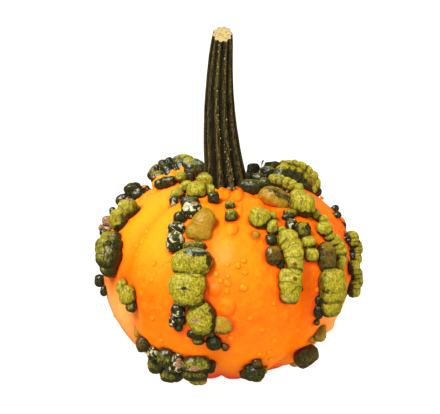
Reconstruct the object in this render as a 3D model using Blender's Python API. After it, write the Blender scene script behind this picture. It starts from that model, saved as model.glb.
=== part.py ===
# A round warted pumpkin that stands on the flat spot under its ribs, with its tall ridged stem.
# Sizes are in metres, +Z is up, the front faces -Y, and the origin is the middle of the flat foot.
# Each wart is placed from where it is seen in the photo: a line of sight goes through its pixel
# and the wart sits where that line meets the rind, or passes nearest to it at the outline.

import math

import bpy
import numpy as np

for old in list(bpy.data.objects):
    bpy.data.objects.remove(old, do_unlink=True)

# The photo's view of the fruit
PIXEL = 0.0009            # what one pixel of the photo spans at the fruit's axis
VIEW_UP = math.radians(16.0)
VIEW_DISTANCE = 1.2
MIDDLE_U = 220.0          # the photo's middle
MIDDLE_V = 207.0
AXIS_U = 228.5            # where the fruit's middle is seen
EQUATOR_V = 265.0

# Rind
EQUATOR_UP = 0.0972       # the widest level above the floor
RIND_RADIUS = 0.1125
UPPER_HALF = 0.0800       # from the widest level to the top of the ribs
LOWER_HALF = 0.1003       # the lower half would end this far down if the foot were not flat
UPPER_POWER = 2.2
LOWER_POWER = 1.97
RIBS = 8
GROOVE_TURN = math.radians(-8.6)
GROOVE_DEPTH = 0.036      # share of the radius
GROOVE_WIDTH = 0.42
DENT_DEPTH = 0.085        # share of the radius, round the stem
DENT_REACH = 0.33
SWAY = 0.045              # the lower half swells less on the right, by this share
WART_CLEARANCE = 0.0012   # warts near the foot end this far above the floor
WART_DEPTH = 0.44         # half depth of a wart over its smaller width
WART_SWELL = 1.04         # warts press against each other, so each is a little wider than it looks
WART_LIFT = 0.20          # how far a wart's middle stands off the rind, as a share of its half depth
LIMB_LIFT = 0.70          # the same again for warts on rind that is seen edge on
SPHERE_STEPS = 7
FRUIT_TRIANGLES = 9400

# Stem
STEM_GAP = 0.00035
STEM_RIDGES = 10
RING_POINTS = 40
RIDGE_DEPTH = 0.075
CUT_SLOPE = math.tan(math.radians(34.0))

# Warts of the photo, in clusters: across, down, width, height, and lean to the left in degrees
BACK_LEFT_SHOULDER = [
    (154.5, 172.5, 17, 11, 55), (163, 164.5, 10, 11, 0), (169.5, 163.5, 11, 12, 0),
    (176, 167, 12, 10, 0), (177.5, 158.8, 13, 7, 20), (186.5, 157.8, 13, 7, -12),
    (185, 162.5, 14, 9, 0), (197, 164.5, 17, 10, -18), (199, 170, 15, 9, -15),
]
LEFT_FRONT_CHAIN = [
    (161.5, 183.5, 12, 11, 0), (170.5, 181, 13, 10, 10), (182, 177.5, 13, 12, 0),
    (190, 176.5, 10, 10, 0), (206, 182, 17, 18, 0), (210, 191, 9, 12, 0), (197, 191, 19, 18, 0),
    (186, 187, 15, 11, 25), (177, 194, 13, 12, 45), (174.5, 202, 10, 13, 0), (189.5, 201.5, 18, 10, 0),
    (191.5, 210, 19, 17, -8), (213.5, 198, 11, 13, 0), (180, 218, 12, 12, 0), (176.5, 229, 16, 14, 0),
    (175, 242.5, 15.5, 20, 0),
]
LEFT_OUTLINE = [
    (133, 190, 17, 14, 10), (145, 187.5, 9, 5, 0), (123.5, 199, 16, 10, 25), (127.5, 209, 19, 19, 0),
    (118.5, 220, 17, 21, 0), (113, 212, 7, 10, 0), (107, 221, 10, 10, 0), (102, 228, 7, 7, 0),
    (104.5, 232, 10, 9, 0), (111, 241.5, 22, 20, 0), (106.5, 255, 21, 24, 0), (106, 268, 15, 18, 0),
    (99.9, 280.5, 10, 12, 0), (104, 291, 7, 10, 0), (125, 286.5, 13, 15, 0), (129.5, 292.5, 9, 11, 0),
    (128, 300.5, 13, 10, 0), (131, 306.5, 9, 8, 0),
]
MIDDLE_COLUMN = [
    (200, 232, 24, 20, 0), (206, 221, 15, 18, 0), (194.5, 247, 20, 10, 0), (186, 262.5, 25, 21, 0),
    (199.5, 262.5, 20, 24, 0), (196.5, 254, 26, 8, -6), (186.5, 289, 32, 34, 0),
    (201.3, 317.3, 26, 30, 0), (222.5, 324, 19, 18, 0), (178.4, 310, 14, 13, 0), (173.8, 321, 9, 12, 0),
    (181, 320, 9, 10, 0), (178.4, 327.5, 8, 8, 0), (196.5, 334, 17, 9, 0), (198.5, 340.5, 11, 8, 0),
    (210.4, 333, 9, 8, 0), (213.7, 342.5, 14, 15, 0), (225.6, 346.4, 7, 9, 0), (207.7, 325.5, 9, 7, 20),
    (225.6, 307, 16, 15, 0), (214.2, 290, 11, 10, 0),
]
TOP_CENTRE = [
    (230, 205.5, 9.5, 9, 0), (231, 216, 12, 13, 0), (232.5, 184.5, 8, 8, 0), (234.5, 190.5, 6, 6, 0),
    (229, 189.5, 5, 5, 0), (225.5, 187, 5, 5, 0), (230.9, 228.7, 13, 11, 0), (239.8, 208.3, 6, 12, 0),
]
BACK_RIGHT_CHAIN = [
    (253.5, 168.5, 13, 10, 0), (272.5, 165, 17, 7, 0), (284, 162.5, 7, 5, 0), (288.5, 164.5, 10, 9, 0),
    (294.5, 165.5, 12, 11, -20), (300.5, 168, 12, 13, -30), (306.5, 172.5, 12, 14, -40),
    (311.5, 178, 13, 15, -10), (315, 184.5, 12, 14, 0), (317.5, 191.5, 8, 10, 0),
]
RIGHT_TOP = [
    (244.5, 179.5, 14, 13, 0), (250.2, 175.8, 8, 7, 0), (257.5, 179, 14, 12, 0),
    (252, 187.5, 26, 15, -5), (264, 185, 13, 15, 0), (267.5, 172.5, 15, 13, 0), (280, 172, 12, 10, 0),
    (286.5, 173, 12, 11, 0), (292.5, 175.5, 12, 13, -20), (298, 179, 12, 13, -30),
    (303, 183.5, 10, 11, -40), (274, 180.5, 12, 12, 0), (280, 182, 12, 13, 0), (286, 184, 12, 13, 0),
    (291.5, 186.5, 12, 13, 0), (297, 189.5, 12, 12, 0), (275, 198.5, 31, 19, -25),
    (298, 198, 17, 15, 0), (302.5, 205, 23, 22, 0), (311.5, 207, 7, 8, 0), (316, 215.5, 9, 12, 0),
    (322, 220, 11, 10, 0), (324, 229.5, 15.5, 14, 0), (328.5, 236, 13, 11, 0),
    (333.5, 240.5, 14, 12, 0), (337.5, 246, 14, 12, 0), (340, 252.5, 13, 12, 0),
    (341, 259, 11.5, 12, 0), (339.5, 266, 10, 11, 0), (326.5, 257.5, 17, 28, 0), (332, 282, 26, 25, 0),
    (332.5, 298, 25, 24, 0), (329, 311, 16, 17, 0), (320, 300.5, 9, 10, 0), (318.3, 311, 9, 15, 0),
    (316.5, 322, 6, 7, 0), (320, 332.5, 12, 17, 0), (312, 338.5, 7, 8, 0), (329, 325, 10, 12, 0),
]
BOTTOM_RIGHT = [
    (306, 356.5, 24, 18, 35), (294, 363, 9, 7, 0), (254, 372, 20, 17, 0), (244.6, 374, 9, 10, 0),
    (256.8, 363, 10, 9, 0), (263.5, 370, 8, 9, 0), (256, 379, 11, 6, 0),
]
FRONT_RIGHT_COLUMN = [
    (259.7, 217.7, 19.5, 19.5, 0), (272.7, 216, 8, 8, 0), (272, 228, 11, 15, 0),
    (270.9, 240, 10.5, 10.5, 0), (255.7, 235.5, 7, 8, 0), (280.8, 231, 9, 9, 0),
    (286.9, 241, 20, 20, 0), (293.6, 252.8, 19, 18, 0), (295.6, 263, 16, 16, 0), (290, 276, 20, 16, 0),
    (288.5, 291.5, 20, 22, 0), (273, 255.5, 15, 17, 0), (280.3, 264, 7, 8, 0), (290, 213.5, 13, 8, 0),
    (288.5, 217.5, 12, 7, 0), (291.5, 225, 11.5, 11, 0), (302.5, 230.5, 15, 16, 0),
    (308, 242.5, 15, 12, 0), (310.9, 254.8, 14.5, 13.5, 0),
]
RIGHT_OUTLINE = [
    (335.7, 208.3, 7, 7, 0), (337.6, 214.8, 7.5, 7, 0), (352, 238, 9, 12, 0), (355.5, 245.5, 10, 12, 0),
    (356.5, 253, 10, 12, 0), (355, 260, 10, 9, 0), (354.5, 268, 10, 10, 0), (356.5, 275.5, 11, 12, 0),
    (356.5, 283, 11, 12, 0), (353.5, 290.5, 12, 12, 0),
]
BOTTOM_LEFT = [
    (137.5, 332, 6, 10, 0), (143, 344, 12.5, 15, 0), (153.2, 353, 11.5, 13, 0), (156, 366, 16, 13, 0),
    (166, 357.5, 15, 18, 0), (176, 361.5, 16, 17, 0), (175.5, 372, 19, 11, 0), (160.8, 373.7, 5, 5, 0),
    (196, 363.5, 24, 13, 0), (194.5, 371.5, 21, 11, 0), (209, 365.5, 10, 12, 0), (198, 378, 15, 8, 0),
]

# Clusters of the sides that the photo hides run down the ribs by this rule
HIDDEN_SEED = 7
HIDDEN_CLUSTERS = [
    # turn from the front, height angle of the first wart, number of warts, drift of each step sideways
    (112, 18, 7, 0.15), (124, -12, 6, -0.20), (130, 36, 5, 0.30), (146, 24, 9, 0.05),
    (150, -34, 4, 0.35), (168, 38, 7, -0.15), (176, 4, 6, 0.20), (190, -30, 4, -0.30),
    (197, 36, 9, 0.12), (214, 4, 6, -0.22), (224, 38, 6, 0.05), (236, 16, 7, -0.10),
    (244, -28, 4, 0.20), (116, -40, 3, 0.10),
]
HIDDEN_WIDTH = (0.0095, 0.0200)

SIGHT_RIGHT = np.array([1.0, 0.0, 0.0])
SIGHT_AHEAD = np.array([0.0, math.cos(VIEW_UP), -math.sin(VIEW_UP)])
SIGHT_UP = np.array([0.0, math.sin(VIEW_UP), math.cos(VIEW_UP)])
HEART = np.array([0.0, 0.0, EQUATOR_UP])
EYE = (
    HEART
    - (AXIS_U - MIDDLE_U) * PIXEL * SIGHT_RIGHT
    + (EQUATOR_V - MIDDLE_V) * PIXEL * SIGHT_UP
    - VIEW_DISTANCE * SIGHT_AHEAD
)


def rind_radius(way):
    """Distance of the bare rind from the heart of the fruit, along each unit direction."""
    flat = np.hypot(way[:, 0], way[:, 1])
    rise = way[:, 2]
    turn = np.arctan2(way[:, 0], -way[:, 1])
    half = np.where(rise > 0, UPPER_HALF, LOWER_HALF)
    power = np.where(rise > 0, UPPER_POWER, LOWER_POWER)
    plain = ((flat / RIND_RADIUS) ** power + (np.abs(rise) / half) ** power) ** (-1.0 / power)
    groove = np.exp(-((np.sin(RIBS / 2 * (turn - GROOVE_TURN)) / GROOVE_WIDTH) ** 2))
    near_pole = np.clip(flat / 0.30, 0.0, 1.0)
    dent = np.where(rise > 0, DENT_DEPTH * np.exp(-((flat / DENT_REACH) ** 2)), 0.0)
    sway = SWAY * way[:, 0] * np.clip(-rise, 0.0, 1.0)
    return plain * (1.0 - GROOVE_DEPTH * groove * near_pole - dent - sway)


def seat_of(across, down, stand=0.0, pick=0):
    """Where a pixel's line of sight comes this near to the rind, or leaves it if pick is -1.

    A line that misses the rind gives its nearest pass.
    """
    ray = (
        SIGHT_AHEAD
        + (across - MIDDLE_U) * PIXEL / VIEW_DISTANCE * SIGHT_RIGHT
        - (down - MIDDLE_V) * PIXEL / VIEW_DISTANCE * SIGHT_UP
    )
    steps = np.linspace(VIEW_DISTANCE - 0.16, VIEW_DISTANCE + 0.16, 1281)
    points = EYE + steps[:, None] * ray
    from_heart = points - HEART
    length = np.linalg.norm(from_heart, axis=1)
    excess = length - rind_radius(from_heart / length[:, None]) - stand
    inside = np.nonzero(excess < 0)[0]
    return points[inside[pick] if len(inside) else int(np.argmin(excess))]


def outward(place):
    """The way that the bare rind faces, nearest to a place."""
    nudges = np.array([(0.002, 0, 0), (0, 0.002, 0), (0, 0, 0.002)])
    around = np.concatenate([place + nudges, place - nudges]) - HEART
    length = np.linalg.norm(around, axis=1)
    level = length / rind_radius(around / length[:, None])
    slope = level[:3] - level[3:]
    return slope / np.linalg.norm(slope)


def photo_warts():
    """Centre, three unit axes and three half widths of each wart that the photo shows."""
    found = []
    clusters = [
        BACK_LEFT_SHOULDER, LEFT_FRONT_CHAIN, LEFT_OUTLINE, MIDDLE_COLUMN, TOP_CENTRE,
        BACK_RIGHT_CHAIN, RIGHT_TOP, BOTTOM_RIGHT, FRONT_RIGHT_COLUMN, RIGHT_OUTLINE, BOTTOM_LEFT,
    ]
    for cluster in clusters:
        for across, down, wide, high, lean in cluster:
            turn = math.radians(lean)
            first = math.cos(turn) * SIGHT_RIGHT + math.sin(turn) * SIGHT_UP
            second = math.cos(turn) * SIGHT_UP - math.sin(turn) * SIGHT_RIGHT
            axes = np.array([first, second, SIGHT_AHEAD])
            half = np.array([wide / 2, high / 2, WART_DEPTH * min(wide, high)]) * PIXEL * WART_SWELL
            facing = float(outward(seat_of(across, down)) @ SIGHT_AHEAD)
            lift = WART_LIFT + LIMB_LIFT * (1.0 - facing * facing)
            beyond = cluster is BACK_LEFT_SHOULDER or cluster is BACK_RIGHT_CHAIN
            centre = seat_of(across, down, half.min() * lift, -1 if beyond else 0)
            found.append((centre, axes, half))
            found.extend(root_mound(centre, half))
    return found


def root_mound(centre, half):
    """A mound from the rind up to a wart that stands off it."""
    from_heart = centre - HEART
    length = np.linalg.norm(from_heart)
    way = from_heart / length
    foot = float(rind_radius(way[None, :])[0])
    stand = length - foot
    if stand < 0.35 * half.min():
        return []
    side = np.cross(way, SIGHT_UP + 0.3 * SIGHT_RIGHT)
    side = side / np.linalg.norm(side)
    spread = 0.92 * half.mean() + 0.25 * stand
    return [(HEART + way * foot, np.array([side, np.cross(way, side), way]),
             np.array([spread, spread, stand + 0.2 * half.min()]))]


def hidden_warts():
    """Chains of warts on the sides that the photo hides."""
    chance = np.random.default_rng(HIDDEN_SEED)
    found = []
    for turn_deg, rise_deg, count, drift in HIDDEN_CLUSTERS:
        turn = math.radians(turn_deg)
        rise = math.radians(rise_deg)
        width = chance.uniform(*HIDDEN_WIDTH)
        for step in range(count):
            way = np.array([
                math.cos(rise) * math.sin(turn),
                -math.cos(rise) * math.cos(turn),
                math.sin(rise),
            ])
            radius = float(rind_radius(way[None, :])[0])
            side = np.array([math.cos(turn), math.sin(turn), 0.0])
            up = np.cross(way, side)
            lean = chance.uniform(-0.6, 0.6)
            first = math.cos(lean) * side + math.sin(lean) * up
            second = np.cross(way, first)
            wide = width * chance.uniform(0.85, 1.25)
            high = width * chance.uniform(0.80, 1.15)
            half = np.array([wide / 2, high / 2, WART_DEPTH * min(wide, high)])
            found.append((HEART + way * radius, np.array([first, second, way]), half))
            if chance.uniform() < 0.45:
                beside = way + first * width * 0.75 / radius * chance.choice([-1.0, 1.0])
                beside = beside / np.linalg.norm(beside)
                reach = float(rind_radius(beside[None, :])[0])
                found.append((HEART + beside * reach, np.array([first, second, way]), half * 0.72))
            step_length = width * chance.uniform(0.62, 0.86)
            rise -= step_length / radius
            turn += step_length * (drift + chance.uniform(-0.45, 0.45)) / (radius * max(math.cos(rise), 0.3))
            width = float(np.clip(width * chance.uniform(0.78, 1.25), *HIDDEN_WIDTH))
    return found


def fruit_radius(way):
    """Distance of the warted fruit from its heart, along each unit direction."""
    bare = rind_radius(way)
    reach = bare.copy()
    for centre, axes, half in photo_warts() + hidden_warts():
        offset = centre - HEART
        distance = np.linalg.norm(offset)
        widest = half.max() * 1.02
        near = np.nonzero(way @ (offset / distance) > math.sqrt(1 - (widest / distance) ** 2))[0]
        ray = (way[near] @ axes.T) / half
        middle = (axes @ offset) / half
        square = (ray * ray).sum(axis=1)
        along = ray @ middle
        inside = along * along - square * (middle @ middle - 1.0)
        hit = inside > 0
        far = (along[hit] + np.sqrt(inside[hit])) / square[hit]
        reach[near[hit]] = np.maximum(reach[near[hit]], far)
    falling = way[:, 2] < -0.05
    drop = np.where(falling, -way[:, 2], 1.0)
    floor = np.where(falling, EQUATOR_UP / drop, 9.0)
    wart_floor = np.where(falling, (EQUATOR_UP - WART_CLEARANCE) / drop, 9.0)
    return np.where(bare >= floor, floor, np.maximum(np.minimum(bare, floor), np.minimum(reach, wart_floor)))


def paint(obj, name, colour, roughness):
    made = bpy.data.materials.new(name)
    made.use_nodes = True
    shader = made.node_tree.nodes["Principled BSDF"]
    shader.inputs["Base Color"].default_value = (*colour, 1.0)
    shader.inputs["Roughness"].default_value = roughness
    made.diffuse_color = (*colour, 1.0)
    obj.data.materials.clear()
    obj.data.materials.append(made)


def new_object(name, points, faces):
    mesh = bpy.data.meshes.new(name)
    mesh.from_pydata([tuple(map(float, p)) for p in points], [], [tuple(map(int, f)) for f in faces])
    mesh.update()
    obj = bpy.data.objects.new(name, mesh)
    bpy.context.scene.collection.objects.link(obj)
    return obj


def round_grid(steps):
    """Unit directions spread evenly over a sphere, with the triangles between them."""
    golden = (1 + math.sqrt(5)) / 2
    points = np.array([
        (-1, golden, 0), (1, golden, 0), (-1, -golden, 0), (1, -golden, 0),
        (0, -1, golden), (0, 1, golden), (0, -1, -golden), (0, 1, -golden),
        (golden, 0, -1), (golden, 0, 1), (-golden, 0, -1), (-golden, 0, 1),
    ], float)
    faces = np.array([
        (0, 11, 5), (0, 5, 1), (0, 1, 7), (0, 7, 10), (0, 10, 11), (1, 5, 9), (5, 11, 4),
        (11, 10, 2), (10, 7, 6), (7, 1, 8), (3, 9, 4), (3, 4, 2), (3, 2, 6), (3, 6, 8), (3, 8, 9),
        (4, 9, 5), (2, 4, 11), (6, 2, 10), (8, 6, 7), (9, 8, 1),
    ])
    for _ in range(steps):
        ends = np.concatenate([faces[:, [0, 1]], faces[:, [1, 2]], faces[:, [2, 0]]])
        ends.sort(axis=1)
        single, index = np.unique(ends, axis=0, return_inverse=True)
        index = index.reshape(3, -1) + len(points)
        points = np.concatenate([points, points[single].mean(axis=1)])
        a, b, c = faces.T
        ab, bc, ca = index
        faces = np.concatenate([
            np.stack([a, ab, ca], 1), np.stack([b, bc, ab], 1),
            np.stack([c, ca, bc], 1), np.stack([ab, bc, ca], 1),
        ])
    return points / np.linalg.norm(points, axis=1)[:, None], faces


def applied(obj, name):
    """The object's mesh with its modifiers worked out, as a new mesh."""
    bpy.context.view_layer.update()
    graph = bpy.context.evaluated_depsgraph_get()
    mesh = bpy.data.meshes.new_from_object(obj.evaluated_get(graph), depsgraph=graph)
    mesh.name = name
    return mesh


def make_fruit():
    way, faces = round_grid(SPHERE_STEPS)
    points = HEART + way * fruit_radius(way)[:, None]
    obj = new_object("fruit", points, faces)
    fewer = obj.modifiers.new("fewer faces", "DECIMATE")
    fewer.ratio = FRUIT_TRIANGLES / len(faces)
    mesh = applied(obj, "fruit")
    obj.modifiers.clear()
    obj.data = mesh
    for vertex in mesh.vertices:
        if vertex.co.z < 0.0004:
            vertex.co.z = 0.0
    paint(obj, "orange rind", (0.90, 0.26, 0.02), 0.38)
    return obj


# The stem's middle line: height above the widest level, shift right, shift back, half width
STEM_LINE = [
    (0.0700, -0.0010, -0.0030, 0.0205),
    (0.0745, -0.0018, -0.0030, 0.0194),
    (0.0800, -0.0026, -0.0026, 0.0179),
    (0.0880, -0.0034, -0.0020, 0.0166),
    (0.0980, -0.0046, -0.0012, 0.0156),
    (0.1110, -0.0060, -0.0004, 0.0146),
    (0.1260, -0.0072, 0.0004, 0.0135),
    (0.1420, -0.0080, 0.0010, 0.0124),
    (0.1580, -0.0082, 0.0014, 0.0114),
    (0.1740, -0.0078, 0.0016, 0.0105),
    (0.1890, -0.0070, 0.0016, 0.0097),
    (0.2000, -0.0062, 0.0014, 0.0090),
    (0.2080, -0.0056, 0.0012, 0.0081),
]
STEM_TURN = math.radians(6.0)
CUT_STARTS = 0.150


def stem_rings(wider, lower):
    rings = []
    last = STEM_LINE[-1][0]
    for number, (rise, right, back, half) in enumerate(STEM_LINE):
        height = rise - (lower if number == 0 else 0.0)
        share = (rise - STEM_LINE[0][0]) / (last - STEM_LINE[0][0])
        slope = CUT_SLOPE * max(0.0, (rise - CUT_STARTS) / (last - CUT_STARTS)) ** 1.6
        foot = math.exp(-(share / 0.10) ** 2)
        ring = []
        for k in range(RING_POINTS):
            turn = 2 * math.pi * k / RING_POINTS + STEM_TURN * share
            ridge = math.cos(STEM_RIDGES * 2 * math.pi * k / RING_POINTS)
            radius = half * (1 + (RIDGE_DEPTH + 0.03 * foot) * ridge) + wider
            x = right + radius * math.cos(turn)
            y = back + radius * math.sin(turn) * 0.96
            ring.append((x, y, EQUATOR_UP + height + (y - back) * slope))
        rings.append(ring)
    return rings


def make_stem(name, wider, lower):
    rings = stem_rings(wider, lower)
    points = [p for ring in rings for p in ring]
    count = RING_POINTS
    faces = []
    for r in range(len(rings) - 1):
        for k in range(count):
            n = (k + 1) % count
            faces.append((r * count + k, r * count + n, (r + 1) * count + n))
            faces.append((r * count + k, (r + 1) * count + n, (r + 1) * count + k))
    bottom = len(points)
    points.append((STEM_LINE[0][1], STEM_LINE[0][2], EQUATOR_UP + STEM_LINE[0][0] - 0.0020 - lower))
    top = len(points)
    points.append((STEM_LINE[-1][1], STEM_LINE[-1][2], EQUATOR_UP + STEM_LINE[-1][0] + 0.0010))
    above = (len(rings) - 1) * count
    for k in range(count):
        n = (k + 1) % count
        faces.append((n, k, bottom))
        faces.append((above + k, above + n, top))
    return new_object(name, points, faces)


fruit = make_fruit()
stem = make_stem("stem", 0.0, 0.0)
paint(stem, "dark stem", (0.075, 0.058, 0.020), 0.62)
socket = make_stem("stem_socket", STEM_GAP, STEM_GAP)
socket.hide_render = True
socket.display_type = "WIRE"
cut = fruit.modifiers.new("stem seat", "BOOLEAN")
cut.operation = "DIFFERENCE"
cut.solver = "EXACT"
cut.object = socket
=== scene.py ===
import math

import bpy
import numpy as np
from mathutils import Matrix, Vector


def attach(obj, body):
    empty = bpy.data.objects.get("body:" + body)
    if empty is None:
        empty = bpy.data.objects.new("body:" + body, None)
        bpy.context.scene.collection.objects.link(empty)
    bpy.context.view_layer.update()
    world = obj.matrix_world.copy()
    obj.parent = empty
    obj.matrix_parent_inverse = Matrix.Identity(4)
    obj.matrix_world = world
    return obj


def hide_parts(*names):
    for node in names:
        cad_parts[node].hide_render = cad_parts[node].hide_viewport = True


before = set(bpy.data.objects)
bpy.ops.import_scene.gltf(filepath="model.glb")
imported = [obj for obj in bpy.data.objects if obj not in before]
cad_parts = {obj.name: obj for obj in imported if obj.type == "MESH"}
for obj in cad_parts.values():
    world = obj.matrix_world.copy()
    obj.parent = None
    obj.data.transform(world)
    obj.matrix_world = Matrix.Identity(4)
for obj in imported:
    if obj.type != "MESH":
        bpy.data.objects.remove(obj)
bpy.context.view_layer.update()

# The photo's view
PIXEL = 0.0009
VIEW_UP = math.radians(16.0)
VIEW_DISTANCE = 1.2
MIDDLE_U, MIDDLE_V = 220.0, 207.0
AXIS_U, EQUATOR_V = 228.5, 265.0
PHOTO_WIDTH = 440
SEARCH_REACH, SEARCH_STEPS = 0.16, 1281

# Rind and warts, as in the part
EQUATOR_UP = 0.0972
RIND_RADIUS = 0.1125
UPPER_HALF, LOWER_HALF = 0.0800, 0.1003
UPPER_POWER, LOWER_POWER = 2.2, 1.97
RIBS = 8
GROOVE_TURN = math.radians(-8.6)
GROOVE_DEPTH, GROOVE_WIDTH = 0.036, 0.42
DENT_DEPTH, DENT_REACH = 0.085, 0.33
SWAY = 0.045
WART_CLEARANCE = 0.0012
WART_DEPTH, WART_SWELL = 0.44, 1.04
WART_LIFT, LIMB_LIFT = 0.20, 0.70
OLIVE_SINK = 0.40
LUMP_POWER = 2.5
APART, LOBE, MOUND = 0, 1, 2
FAR = 1e9

# Fineness
VOXEL = 0.00060
HIDDEN_VOXEL = 0.00095
RIND_STEPS = 97
FINE_FROM = 0.0045

# Warts, in pixels of the photo: across, down, width, height and kind. Two more values, in degrees, may be
# left out: the lean to the left and the way to the dark side, which holds the wart's own darker colour and
# painted shade away from the light.
# Kinds: L lime, l lime with a painted shaded underside, Y pale lime, D dark green, C dark with cream flecks,
# G mottled,
# V dark olive, O olive to orange, B brown, K cork, R dark with a lime rim, s a lobe of the wart before it.
BACK_LEFT_SHOULDER = [
    (154.5, 172.5, 17, 11, "G", 55), (163, 164.5, 10, 11, "D"), (169.5, 163.5, 11, 12, "D"),
    (176, 167, 12, 10, "D"), (177.5, 158.8, 13, 7, "G", 20), (186.5, 157.8, 13, 7, "l", -12),
    (185, 162.5, 14, 9, "D"), (197, 164.5, 17, 10, "D", -18), (199, 170, 15, 9, "B", -15),
]
LEFT_FRONT_CHAIN = [
    (160.5, 184, 12, 10, "D"), (166, 182.3, 12, 10.5, "s"), (171, 180.8, 13, 10, "s"),
    (182, 177.5, 13, 12, "Y"), (190, 176.5, 10, 10, "D"), (206, 182, 17, 18, "L", 0, -80),
    (210, 191, 9, 12, "s"), (197, 191, 19, 18, "L", 0, -90), (186, 187, 15, 11, "L", 25, -90),
    (177, 194, 13, 12, "L", 45, -60), (174.5, 202, 10, 13, "C"), (189.5, 201.5, 18, 10, "D"),
    (191.5, 210, 19, 17, "C", -8), (213.5, 198, 11, 13, "D"), (180, 218, 12, 12, "D"),
    (176.5, 229, 16, 14, "C"), (175, 242.5, 15.5, 20, "C"),
]
LEFT_OUTLINE = [
    (133, 190, 17, 14, "D", 10), (145, 187.5, 9, 5, "B"), (123.5, 199, 16, 10, "D", 25),
    (127.5, 209, 19, 19, "L", 0, -60), (118.5, 220, 17, 21, "s"), (113, 212, 7, 10, "D"),
    (107, 221, 10, 10, "K"), (102, 228, 7, 7, "K"), (104.5, 232, 10, 9, "D"), (111, 240, 20, 17, "G"),
    (109, 248, 25, 22, "s"), (108.5, 257, 24, 22, "s"), (109, 266, 16, 20, "s"), (111, 272, 9, 11, "s"),
    (99.9, 280.5, 10, 12, "D"), (104, 291, 7, 10, "D"), (123, 286.5, 13, 14, "L"), (128, 295, 16, 18, "s"),
    (131.5, 305, 11, 13, "G"),
]
MIDDLE_COLUMN = [
    (201.5, 226, 20, 32, "O", -22), (198.5, 233, 23, 18, "s", -15), (194.5, 247, 21, 11, "G"),
    (192, 262, 37, 25, "L", 6), (200, 267, 19, 16, "s"), (187.5, 285, 33, 26, "L"),
    (187.5, 291, 30, 29, "s"), (201.3, 317.3, 26, 30, "L", 0, 15), (222.5, 324, 19, 18, "O"),
    (178.4, 310, 14, 13, "C"), (173.8, 321, 9, 12, "C"), (181, 320, 9, 10, "D"), (178.4, 327.5, 8, 8, "D"),
    (196.5, 334, 17, 9, "D"), (198.5, 340.5, 11, 8, "G"), (210.4, 333, 9, 8, "V"),
    (213.7, 342.5, 14, 15, "D"), (225.6, 346.4, 7, 9, "B"), (207.7, 325.5, 9, 7, "Y", 20),
]
TOP_CENTRE = [
    (230, 205.5, 9.5, 9, "G"), (231, 216, 12, 13, "G"), (232.5, 184.5, 8, 8, "C"),
    (234.5, 190.5, 6, 6, "D"), (229, 189.5, 5, 5, "K"), (225.5, 187, 5, 5, "L"),
]
BACK_RIGHT_CHAIN = [
    (253.5, 168.5, 13, 10, "D"), (272.5, 165, 17, 7, "D"), (284, 162.5, 7, 5, "Y"),
    (288.5, 164.5, 10, 9, "l"), (294.5, 165.5, 12, 11, "s", -20), (300.5, 168, 12, 13, "s", -30),
    (306.5, 172.5, 12, 14, "l", -40, -150), (311.5, 178, 13, 15, "s", -10), (315, 184.5, 12, 14, "s"),
    (317.5, 191.5, 8, 10, "B"),
]
RIGHT_TOP = [
    (244.5, 179.5, 14, 13, "D"), (250.2, 175.8, 8, 7, "D"), (257.5, 179, 14, 12, "D"),
    (252, 187.5, 26, 15, "D", -5), (264, 185, 13, 15, "D"), (267.5, 172.5, 15, 13, "G"),
    (280, 172, 12, 10, "G"), (286.5, 173, 12, 11, "G"), (292.5, 175.5, 12, 13, "l", -20),
    (298, 179, 12, 13, "s", -30), (303, 183.5, 10, 11, "s", -40), (274, 180.5, 12, 12, "l"),
    (280, 182, 12, 13, "s"), (286, 184, 12, 13, "s"), (291.5, 186.5, 12, 13, "s"),
    (297, 189.5, 12, 12, "s"), (275, 198.5, 31, 19, "O", -25, 60), (298, 198, 17, 15, "L", 0, -90),
    (302.5, 205, 23, 22, "s"), (311.5, 207, 7, 8, "Y"), (316, 215.5, 9, 12, "L"), (322, 220, 11, 10, "L"),
    (324, 229.5, 15.5, 14, "l", 0, -110), (328.5, 236, 13, 11, "l"), (333.5, 240.5, 14, 12, "s"),
    (337.5, 246, 14, 12, "s"), (340, 252.5, 13, 12, "s"), (341, 259, 11.5, 12, "Y"),
    (339.5, 266, 10, 11, "s"), (326.5, 257.5, 17, 28, "V"), (332.5, 283, 25, 27, "L"),
    (332, 291, 24, 28, "s"), (330.3, 299.5, 21, 32, "s", 5), (320, 300.5, 9, 10, "D"),
    (318.3, 311, 9, 15, "D"), (316.5, 322, 6, 7, "V"), (320, 332.5, 12, 17, "O"), (312, 338.5, 7, 8, "O"),
]
BOTTOM_RIGHT = [
    (306, 356.5, 24, 18, "V", 35), (294, 363, 9, 7, "O"), (254, 372, 20, 17, "D"), (244.6, 374, 9, 10, "V"),
    (256.8, 363, 10, 9, "V"), (263.5, 370, 8, 9, "L"), (256, 379, 11, 6, "L"),
]
FRONT_RIGHT_COLUMN = [
    (259.7, 217.7, 19.5, 19.5, "L", 0, -60), (272.7, 216, 8, 8, "L"), (272, 228, 11, 15, "L", 0, -80),
    (270.9, 240, 10.5, 10.5, "D"), (255.7, 235.5, 7, 8, "O"), (280.8, 231, 9, 9, "L"),
    (287.5, 240.5, 19, 20, "L"), (291, 248, 20, 18, "s"), (293, 256, 19, 17, "s"),
    (294.5, 265, 16, 16, "s"), (290, 276, 22, 16, "L"), (290, 284, 21, 19, "s"),
    (289.5, 293.5, 19, 19, "s"), (273, 255.5, 15, 17, "V"), (280.3, 264, 7, 8, "D"),
    (290, 213.5, 13, 8, "G"), (288.5, 217.5, 12, 7, "D"), (291.5, 225, 11.5, 11, "C"),
    (302.5, 230.5, 15, 16, "G", 0, 10), (308, 242.5, 15, 12, "L", 0, -70), (310.9, 254.8, 14.5, 13.5, "L"),
    (301, 288.8, 4, 5, "D"), (302.8, 255.3, 4, 4, "K"),
]
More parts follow.
